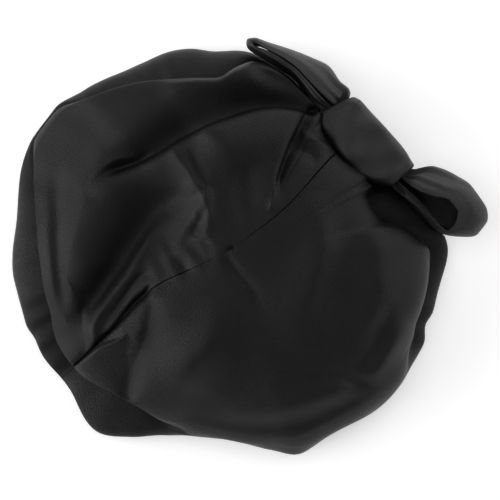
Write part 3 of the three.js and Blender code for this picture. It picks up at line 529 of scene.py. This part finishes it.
# ------------------------------------------------------------------ finishes
def satin_weave():
    """Node group: the fine grain of warp and weft, as a tone, a roughness and a normal."""
    group = bpy.data.node_groups.new("satin_weave", "ShaderNodeTree")
    face = group.interface
    face.new_socket("Colour", in_out="INPUT", socket_type="NodeSocketColor")
    face.new_socket("Roughness", in_out="INPUT", socket_type="NodeSocketFloat")
    face.new_socket("Depth", in_out="INPUT", socket_type="NodeSocketFloat")
    face.new_socket("Colour", in_out="OUTPUT", socket_type="NodeSocketColor")
    face.new_socket("Roughness", in_out="OUTPUT", socket_type="NodeSocketFloat")
    face.new_socket("Normal", in_out="OUTPUT", socket_type="NodeSocketVector")
    nodes, links = group.nodes, group.links
    given, out = nodes.new("NodeGroupInput"), nodes.new("NodeGroupOutput")
    cloth = nodes.new("ShaderNodeUVMap")
    cloth.uv_map = "cloth"

    def noise(stretch, detail):
        """Noise with so many cells to a metre across, along and up the cloth."""
        place = nodes.new("ShaderNodeMapping")
        place.inputs["Scale"].default_value = stretch
        links.new(cloth.outputs["UV"], place.inputs["Vector"])
        texture = nodes.new("ShaderNodeTexNoise")
        texture.inputs["Scale"].default_value = 1
        texture.inputs["Detail"].default_value = detail
        links.new(place.outputs["Vector"], texture.inputs["Vector"])
        return texture.outputs["Fac"]

    def math_node(operation, a, b):
        """A Math node between two sockets or numbers."""
        node = nodes.new("ShaderNodeMath")
        node.operation = operation
        for socket, value in zip(node.inputs, (a, b)):
            if isinstance(value, (int, float)):
                socket.default_value = value
            else:
                links.new(value, socket)
        return node.outputs[0]

    # Grain about a millimetre across, more of it from the warp, and slow slubs.
    warp = noise((1700, 900, 1), 1)
    weft = noise((900, 1700, 1), 1)
    slub = noise((60, 14, 1), 3)
    grain = math_node("ADD", math_node("MULTIPLY", warp, 0.65), math_node("MULTIPLY", weft, 0.35))
    # The grain mostly lies between 0.34 and 0.66, and multiplies the thread's colour.
    tone = nodes.new("ShaderNodeMix")
    tone.data_type = "RGBA"
    tone.blend_type = "MULTIPLY"
    tone.inputs[0].default_value = 1
    links.new(given.outputs["Colour"], tone.inputs[6])
    shade = nodes.new("ShaderNodeMapRange")
    shade.inputs["From Min"].default_value = 0.34
    shade.inputs["From Max"].default_value = 0.66
    shade.inputs["To Min"].default_value = 0.2
    shade.inputs["To Max"].default_value = 1.8
    links.new(grain, shade.inputs["Value"])
    links.new(shade.outputs[0], tone.inputs[7])
    links.new(tone.outputs[2], out.inputs["Colour"])
    # Roughness + 0.1 (slub - 0.5) + 0.5 (grain - 0.5).
    rough = math_node("ADD", given.outputs["Roughness"],
                      math_node("ADD", math_node("MULTIPLY", math_node("SUBTRACT", slub, 0.5), 0.1),
                                math_node("MULTIPLY", math_node("SUBTRACT", grain, 0.5), 0.5)))
    links.new(rough, out.inputs["Roughness"])
    bump = nodes.new("ShaderNodeBump")
    bump.inputs["Distance"].default_value = 0.0008
    links.new(given.outputs["Depth"], bump.inputs["Strength"])
    links.new(grain, bump.inputs["Height"])
    links.new(bump.outputs["Normal"], out.inputs["Normal"])
    return group


def satin(name, colour, roughness, depth, sheen):
    """Satin: dyed thread with the weave's tone, roughness and bump, and a soft sheen."""
    material = bpy.data.materials.new(name)
    material.use_nodes = True
    nodes, links = material.node_tree.nodes, material.node_tree.links
    shader = nodes["Principled BSDF"]
    weave = nodes.new("ShaderNodeGroup")
    weave.node_tree = bpy.data.node_groups.get("satin_weave") or satin_weave()
    weave.inputs["Colour"].default_value = (*colour, 1)
    weave.inputs["Roughness"].default_value = roughness
    weave.inputs["Depth"].default_value = depth
    links.new(weave.outputs["Colour"], shader.inputs["Base Color"])
    links.new(weave.outputs["Roughness"], shader.inputs["Roughness"])
    links.new(weave.outputs["Normal"], shader.inputs["Normal"])
    shader.inputs["Specular IOR Level"].default_value = sheen
    return material


def plain(name, colour, roughness, glow):
    """A matt finish of one colour, which also gives off glow times that colour."""
    material = bpy.data.materials.new(name)
    material.use_nodes = True
    shader = material.node_tree.nodes["Principled BSDF"]
    shader.inputs["Base Color"].default_value = (*colour, 1)
    shader.inputs["Roughness"].default_value = roughness
    shader.inputs["Emission Color"].default_value = (*colour, 1)
    shader.inputs["Emission Strength"].default_value = glow
    return material


# ------------------------------------------------------------------ sizes and colours
class BonnetSizes(bpy.types.PropertyGroup):
    """Sizes that a user would change"""

    crown_cloth: FloatProperty(name="Crown cloth", description="Wall of the crown, satin and lining",
                               default=0.0014, unit="LENGTH")
    bow_cloth: FloatProperty(name="Bow cloth", description="Wall of the bow's strips",
                             default=0.0016, unit="LENGTH")
    wrap_cloth: FloatProperty(name="Wrap cloth", description="Wall of the cloth around the bow's middle",
                              default=0.002, unit="LENGTH")
    around: IntProperty(name="Steps around", description="Cells around half of the crown", default=250)


class BonnetColours(bpy.types.PropertyGroup):
    """Colours that a user would change"""

    satin: FloatVectorProperty(name="Satin", description="Colour of the satin thread", subtype="COLOR",
                               default=(0.0045, 0.0045, 0.0046))
    floor: FloatVectorProperty(name="Floor", description="Colour of the studio floor", subtype="COLOR",
                               default=(0.9, 0.9, 0.9))


# ------------------------------------------------------------------ the stage
CAMERA_AZIMUTH = 228.0
CAMERA_ELEVATION = 88.5
CAMERA_DISTANCE = 2.5
VIEW_WIDTH = 0.350
AIM = (-10.6, -10.5, 30.0)  # in millimetres from the crown's middle

FLOOR_REACH = 2500.0  # in millimetres
FLOOR_ROUGHNESS = 0.8
FLOOR_GLOW = 0.4  # a floor lit from below, so that it stays white
ROOM_LIGHT = 0.12

# Soft lights: name, azimuth, elevation and distance seen from the middle, width, height, power.
LIGHTS = (
    ("light_left", 142, 26, 1.6, 1.6, 1.0, 17.5),
    ("light_front", 235, 12, 1.6, 1.4, 0.5, 4.5),
    ("light_low_left", 138, 5, 1.6, 1.4, 0.5, 14),
    ("light_low_right", 310, 12, 1.6, 1.4, 0.5, 7.5),
    ("light_low_back", 35, 14, 1.6, 1.4, 0.5, 8),
    ("light_low_front", 0, 20, 1.6, 1.2, 0.7, 6),
    ("light_high_front", 345, 50, 2.0, 1.0, 1.0, 3),
    ("light_over", 130, 80, 2.4, 1.8, 1.8, 16),
)


def away(azimuth, elevation, distance):
    """The point at a direction and distance: azimuth 0 is -Y, and 90 is +X."""
    a, e = math.radians(azimuth), math.radians(elevation)
    return Vector((math.sin(a) * math.cos(e), -math.cos(a) * math.cos(e), math.sin(e))) * distance


class BONNET_OT_stage(bpy.types.Operator):
    """Makes the pale floor, the soft lights and the camera"""

    bl_idname = "bonnet.stage"
    bl_label = "Stage"

    def execute(self, context):
        scene = context.scene
        ends = np.array([-FLOOR_REACH, FLOOR_REACH])
        x, y = np.meshgrid(ends, ends, indexing="ij")
        corners = np.stack([x, y, 0 * x], -1)
        ground = grid_object("studio_floor", corners - MIDDLE, corners[..., :2] * MM)
        ground.data.materials.append(
            plain("studio_floor", scene.bonnet_colours.floor, FLOOR_ROUGHNESS, FLOOR_GLOW))
        world = bpy.data.worlds.new("studio")
        world.use_nodes = True
        world.node_tree.nodes["Background"].inputs["Color"].default_value = (1, 1, 1, 1)
        world.node_tree.nodes["Background"].inputs["Strength"].default_value = ROOM_LIGHT
        scene.world = world
        for light in LIGHTS:
            self.soft_light(scene, *light)
        self.camera(scene)
        scene.view_settings.view_transform = "Standard"
        return {"FINISHED"}

    def soft_light(self, scene, name, azimuth, elevation, distance, width, height, power):
        """A rectangle of light that faces the middle."""
        light = bpy.data.lights.new(name, "AREA")
        light.shape = "RECTANGLE"
        light.size, light.size_y, light.energy = width, height, power
        lamp = bpy.data.objects.new(name, light)
        scene.collection.objects.link(lamp)
        back = away(azimuth, elevation, distance)
        lamp.location = back
        lamp.rotation_euler = back.to_track_quat("Z", "Y").to_euler()

    def camera(self, scene):
        """Looks at AIM, with the view VIEW_WIDTH wide at that distance."""
        lens = bpy.data.cameras.new("camera")
        lens.sensor_width = 36
        lens.lens = lens.sensor_width * CAMERA_DISTANCE / VIEW_WIDTH
        seen = bpy.data.objects.new("camera", lens)
        scene.collection.objects.link(seen)
        back = away(CAMERA_AZIMUTH, CAMERA_ELEVATION, CAMERA_DISTANCE)
        seen.location = back + Vector((np.array(AIM) + MIDDLE) * MM)
        seen.rotation_euler = back.to_track_quat("Z", "Y").to_euler()
        scene.camera = seen


# ------------------------------------------------------------------ the crown
SEAM_GAP = 0.05  # how far each panel's edge keeps from the seam's middle
SEAM_DIP = 2.6  # how far the left panel's edge goes down into the seam, and the right one half as far
SEAM_LAP = 0.7  # how far the left panel's edge reaches below the right one


def stations():
    """Values of s down a section, close where it turns: (upper limit, cells to it)."""
    steps = ((1, 112), (2, 14), (2.6, 18), (3, 12), (3.5, 8), (4, 14))
    runs, start = [], 0.0
    for limit, cells in steps:
        runs.append(np.linspace(start, limit, cells, endpoint=False))
        start = limit
    return np.concatenate(runs + [[start]])


def crown_panel(name, node, first, last, sizes):
    """One panel of the crown, between two directions in degrees. The steps around are closer
    at its seams: angle = first + (last - first) * (u - 0.1 sin 2 pi u). Its edge rows keep
    SEAM_GAP from the seam's middle and dip into it, and the left one reaches under the right."""
    u = np.linspace(0, 1, sizes.around + 1)
    angle = first + (last - first) * (u - 0.1 * np.sin(2 * np.pi * u))
    s = stations()
    turn, run = (grid.astype(float) for grid in np.meshgrid(angle, s, indexing="ij"))
    points = crown_surface(turn, run)
    side = np.sign(np.cos(np.radians((first + last) / 2)))
    points[[0, -1], :, 0] += SEAM_GAP * side
    points[:, 0, 0] += SEAM_GAP * side
    sewn = smooth(s, -0.006, 0.009) * (1 - smooth(s, 0.95, 1.2))
    if side > 0:
        points[[0, -1], :, 0] -= SEAM_LAP * sewn
    points[[0, -1], :, 2] -= (SEAM_DIP if side > 0 else SEAM_DIP / 2) * sewn
    points[[1, -2], :, 2] -= SEAM_DIP / 4 * smooth(s, 0.02, 0.06) * sewn
    reach = cloth_lengths(points)
    flat = np.stack([reach * np.cos(np.radians(turn)), reach * np.sin(np.radians(turn))], -1)
    panel = grid_object(name, points, flat, pole=True)
    thicken(panel, sizes.crown_cloth)
    return dressed(panel, node, "crown_satin")


def dressed(piece, node, slot):
    """Puts a finished piece in its node's place, with the finish of its slot."""
    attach(piece, "root")
    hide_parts(node)
    finish = slot + "_finish"
    made = bpy.data.materials.get(finish)
    piece.data.materials.append(
        made or satin(finish, bpy.context.scene.bonnet_colours.satin, *FINISHES[slot]))
    return piece


# Roughness, depth of weave and strength of the sheen of each finish.
FINISHES = {
    "crown_satin": (0.4, 0.9, 0.17),
    "band_satin": (0.42, 0.9, 0.17),
    "bow_satin": (0.46, 0.9, 0.42),
}


class BONNET_OT_crown(bpy.types.Operator):
    """Makes the two panels of the puffed crown, joined by the middle seam"""

    bl_idname = "bonnet.crown"
    bl_label = "Crown"

    def execute(self, context):
        sizes = context.scene.bonnet_sizes
        for name, node, first, last in (("crown_left_cloth", "crown_left", -90, 90),
                                        ("crown_right_cloth", "crown_right", 90, 270)):
            panel = crown_panel(name, node, first, last, sizes)
        return {"FINISHED"}


# ------------------------------------------------------------------ the rim band
GATHERS = 108
GATHER_SIZE = 0.9
CASING_WIDTH, CASING_LENGTH = 0.034, 0.92  # of the flat strip, in metres
CHANNELS = (0.25, 0.75)  # heights of the two sewn lines, as shares of the band's
CHANNEL_DEPTH = 0.5
ROUNDNESS = 0.5  # power of the section's cosine and sine, 1 for an ellipse


class BONNET_OT_band(bpy.types.Operator):
    """Makes the elastic rim's casing, gathered all round"""

    bl_idname = "bonnet.band"
    bl_label = "Rim band"

    def execute(self, context):
        steps = 10 * GATHERS
        angle = np.linspace(0, 360, steps, endpoint=False)
        # A slim superellipse, walked down the outside and up the inside: depth is 1 on the
        # outer face, and share is the height as a share of the band's.
        around = np.linspace(0, 2 * np.pi, 36, endpoint=False)
        depth = 0.5 + 0.5 * signed_power(np.cos(around), ROUNDNESS)
        share = 0.5 - 0.5 * signed_power(np.sin(around), ROUNDNESS)
        turn, depth = np.meshgrid(angle, depth, indexing="ij")
        share = np.broadcast_to(share, turn.shape)
        rad = np.radians(turn)
        wander = 3 * np.sin(3 * rad) + 2 * np.sin(7 * rad + 1)
        pleat = np.cos(GATHERS * rad + wander) + 0.35 * np.cos(2 * GATHERS * rad + 2 * wander + 1)
        free = 0.5 + 0.5 * np.sqrt(np.sin(np.pi * np.clip(share, 0, 1)))
        r = band_outer(turn, share) - BAND_THICKNESS * (1 - depth) + free * GATHER_SIZE * pleat
        for channel in CHANNELS:
            r = r - CHANNEL_DEPTH * np.exp(-((share - channel) / 0.05) ** 2)
        z = np.maximum(band_top(turn) * share, 0.05)
        points = np.stack([r * np.cos(rad), r * np.sin(rad), z], -1)
        long = np.linspace(0, CASING_LENGTH, steps + 1)
        across = np.linspace(0, CASING_WIDTH, points.shape[1])
        flat = np.stack(np.meshgrid(long, across, indexing="ij"), -1)
        points = np.concatenate([points, points[:, :1]], 1)
        flat = np.concatenate([flat, flat[:, -1:] + [0, 0.001]], 1)
        casing = grid_object("rim_band_casing", points, flat, close_rows=True)
        dressed(casing, "rim_band", "band_satin")
        return {"FINISHED"}


# ------------------------------------------------------------------ the bow
# Each loop is a strip from inside the wrap, out around its tip and back. A row for each
# station gives x, y and z of its upper edge, of the middle of its face and of its lower edge.
LEFT_LOOP = (
    (-5, -122, 44, -5, -131, 32, -5, -126, 20),
    (21, -122, 44, 21, -130, 32, 21, -126, 20),
    (27, -120.5, 47, 27, -137.6, 32, 27, -121.5, 16),
    (36, -119.8, 49, 36, -136, 32, 36, -121, 12),
    (46, -119.5, 50, 47, -137, 31, 46, -121, 11),
    (59, -119.5, 50, 60, -133, 30, 58, -121, 11),
    (73, -117, 49, 74, -127, 30, 72, -118.5, 11),
    (86, -112.4, 47, 87, -120, 30, 85, -115, 12),
    (94, -110, 45, 98, -113, 30, 92, -111.5, 13.5),
    (95.5, -108.5, 44.5, 100, -108, 30, 93.5, -109.5, 15),
    (93, -107.8, 45.5, 95, -104.5, 30, 91, -109, 17.5),
    (85.5, -111.6, 47, 86, -106.8, 30, 85, -115, 17),
    (72.5, -115.8, 49, 73, -110.5, 30, 72, -120, 16),
    (59, -118.3, 50, 58, -113.7, 30, 58, -123.5, 16),
    (46, -118.4, 50, 46, -113.2, 30, 46, -123.5, 16),
    (36, -118.5, 49, 36, -111.8, 31, 36, -123, 17),
    (24, -119.8, 45, 24, -114, 32, 24, -122.5, 22),
    (-5, -120, 44, -5, -115, 32, -5, -121, 22),
)
RIGHT_LOOP = (
    (-15, -124, 43, -15, -129, 32, -15, -124, 21),
    (-43, -122, 43, -43, -131, 32, -43, -121.4, 20),
    (-53, -123, 50, -54, -145, 31, -54, -119, 14),
    (-67, -129, 54, -69, -151, 31, -68, -118, 11),
    (-78, -136, 54, -82, -154, 31, -79, -118, 11),
    (-86, -136, 51, -98, -153, 31, -86, -119, 11.5),
    (-91, -132, 48, -108, -146, 31, -90, -120.5, 12.5),
    (-93, -127, 46, -109, -136, 31, -92, -122, 14),
    (-93, -122, 45, -101, -126, 32, -91, -123, 18),
    (-85, -120.5, 46, -87, -116.8, 36, -84, -121.5, 19),
    (-71, -121, 47, -71, -115.6, 38, -71, -121.5, 19),
    (-57, -120.5, 47, -57, -115.4, 38, -57, -122.6, 19),
    (-43, -119.8, 43, -43, -115.6, 33, -43, -124.4, 24),
    (-15, -119.8, 43, -15, -116, 32, -15, -124, 23),
)
PLEAT_SIZE = 1.3
HEM_THICKNESS = 0.35


def strip(rows, steps, across):
    """Points of a loop's strip on a grid: u along it through the rows, v across it from its
    lower edge to its upper one, over half an ellipse through low, mid and top."""
    rows = np.array(rows, float)
    keys = np.arange(len(rows))
    u = np.linspace(0, 1, steps + 1)
    station = through_rows_each(keys, rows, u * keys[-1])
    top, mid, low = (station[:, None, k:k + 3] for k in (0, 3, 6))
    v = np.linspace(0, 1, across + 1)[None, :, None]
    turn = np.pi * (v - 0.5)
    middle = (top + low) / 2
    points = middle + (top - low) / 2 * np.sin(turn) + (mid - middle) * np.cos(turn)
    return u, v[..., 0], points


def through_rows_each(keys, rows, at):
    """Each column of the rows by through_rows, side by side."""
    return np.stack([through_rows(keys, column, at) for column in rows.T], -1)


def grid_normals(points, close_rows=False):
    """Unit normals of a grid: the step across it, crossed with the step along it."""
    along = np.gradient(points, axis=0)
    if close_rows:
        along = (np.roll(points, -1, 0) - np.roll(points, 1, 0)) / 2
    across = np.gradient(points, axis=1)
    normal = np.cross(across, along)
    return normal / np.maximum(np.linalg.norm(normal, axis=-1, keepdims=True), 1e-9)


def bow_loop(name, node, rows, turn, sizes):
    """A loop of the bow, cambered between its edges and pleated where the wrap gathers it:
    PLEAT_SIZE times three cosines of v, fading with the distance from the wrap, a slow sway
    further out, and a hem along both edges. turn is 1 or -1, the side that faces outwards."""
    u, v, points = strip(rows, 300, 60)
    outward = turn * grid_normals(points)
    free = smooth(np.minimum(u, 1 - u), 0.08, 0.25)[:, None]
    held = (1 - smooth(np.minimum(u, 1 - u), 0.07, 0.36))[:, None]
    pleats = (np.cos(2 * np.pi * (3.4 * v + 0.15 + 0.4 * np.sin(3 * u[:, None])))
              + 0.5 * np.cos(2 * np.pi * (6.1 * v + 0.4))
              + 0.3 * np.cos(2 * np.pi * (11.3 * v + 0.7 * np.sin(9 * u[:, None]))))
    sway = np.sin(2 * np.pi * (2.2 * u[:, None] + 0.6 * v)) * np.sin(np.pi * v)
    hem = HEM_THICKNESS * (1 - smooth(np.minimum(v, 1 - v), 0.1, 0.13))
    lift = PLEAT_SIZE * held * pleats + free * sway + hem
    points = points + outward * lift[..., None]
    if turn > 0:
        points = points[::-1]
    width = cloth_lengths(points)
    length = cloth_lengths(points.swapaxes(0, 1)).swapaxes(0, 1)
    loop = grid_object(name, points, np.stack([length, width], -1))
    thicken(loop, sizes.bow_cloth)
    return dressed(loop, node, "bow_satin")


WRAP_COLUMNS = ("x", "y", "z", "half_depth", "half_height")
WRAP = np.array([
    (-44, -124, 32, 11, 17),
    (-34, -121.3, 32, 15.6, 19),
    (-21, -119, 32, 18.6, 20.5),
    (0, -119.3, 32, 18.6, 21),
    (16, -119.9, 32, 17.4, 20),
    (21, -121.5, 32, 15, 18.5),
    (24, -123, 32, 12.5, 17),
], dtype=float)
WRAP_SQUARENESS = 0.34
END_ROLL = 1.2  # how far the wrap's ends turn in
END_SLANT = 3.2  # how far the end beside the left loop leans along X


def bow_wrap(sizes):
    """The cloth around the bow's middle: superellipses y = cy + a cos^k, z = cz + b sin^k
    along X. Its ends turn in along a quarter circle, one of them slants, and dents made of two
    sine waves along X press its upper and lower faces, fading at the ends."""
    x = np.linspace(WRAP[-1, 0], WRAP[0, 0], 150)
    y, z, depth, height = (through_rows(WRAP[:, 0], WRAP[:, k], x)[None]
                           for k in range(1, len(WRAP_COLUMNS)))
    x = x[None]
    a = np.linspace(0, 2 * np.pi, 240, endpoint=False)[:, None]
    across = signed_power(np.cos(a), WRAP_SQUARENESS)
    upright = signed_power(np.sin(a), WRAP_SQUARENESS)
    from_end = np.minimum(x - x.min(), x.max() - x)
    inwards = 1 - np.clip(from_end / END_ROLL, 0, 1)
    turned = END_ROLL * (1 - np.sqrt(1 - inwards**2))
    waves = 1.2 * np.sin(x / 6.5 + 2.2 * across + 0.6) + 0.7 * np.sin(x / 3.9 - 3.4 * across)
    dents = waves * smooth(from_end, 0, 7)
    slant = END_SLANT * across * smooth(x, 5, 24)
    points = np.stack([x + slant,
                       y + (depth - turned + 0.2 * dents) * across,
                       z + (height - turned + dents) * upright], -1)
    around = cloth_lengths(np.concatenate([points, points[:1]]).swapaxes(0, 1)).swapaxes(0, 1)
    flat = np.stack([np.broadcast_to(x * MM, around.shape), around], -1)
    wrap = grid_object("bow_wrap_cloth", points, flat, close_rows=True)
    thicken(wrap, sizes.wrap_cloth)
    return dressed(wrap, "bow_wrap", "bow_satin")


class BONNET_OT_bow(bpy.types.Operator):
    """Makes the bow: two loops of a gathered strip, and the wide wrap around its middle"""

    bl_idname = "bonnet.bow"
    bl_label = "Bow"

    def execute(self, context):
        sizes = context.scene.bonnet_sizes
        wrap = bow_wrap(sizes)
        left = bow_loop("bow_loop_left_cloth", "bow_loop_left", LEFT_LOOP, 1, sizes)
        right = bow_loop("bow_loop_right_cloth", "bow_loop_right", RIGHT_LOOP, -1, sizes)
        return {"FINISHED"}


# ------------------------------------------------------------------ the panel
class BONNET_PT_panel(bpy.types.Panel):
    """Lists the bonnet's pieces and sizes in the 3D view's sidebar"""

    bl_label = "Bonnet"
    bl_space_type = "VIEW_3D"
    bl_region_type = "UI"
    bl_category = "Bonnet"

    def draw(self, context):
        scene = context.scene
        for group in (scene.bonnet_sizes, scene.bonnet_colours):
            for name in group.__annotations__:
                self.layout.prop(group, name)
        for operator in OPERATORS:
            self.layout.operator(operator.bl_idname)


OPERATORS = (BONNET_OT_stage, BONNET_OT_crown, BONNET_OT_band, BONNET_OT_bow)
CLASSES = (BonnetSizes, BonnetColours, *OPERATORS, BONNET_PT_panel)


def register():
    for cls in CLASSES:
        bpy.utils.register_class(cls)
    bpy.types.Scene.bonnet_sizes = PointerProperty(type=BonnetSizes)
    bpy.types.Scene.bonnet_colours = PointerProperty(type=BonnetColours)


def unregister():
    del bpy.types.Scene.bonnet_colours
    del bpy.types.Scene.bonnet_sizes
    for cls in reversed(CLASSES):
        bpy.utils.unregister_class(cls)


def main():
    register()
    bpy.ops.bonnet.stage()
    bpy.ops.bonnet.crown()
    bpy.ops.bonnet.band()
    bpy.ops.bonnet.bow()


if __name__ == "__main__":
    main()
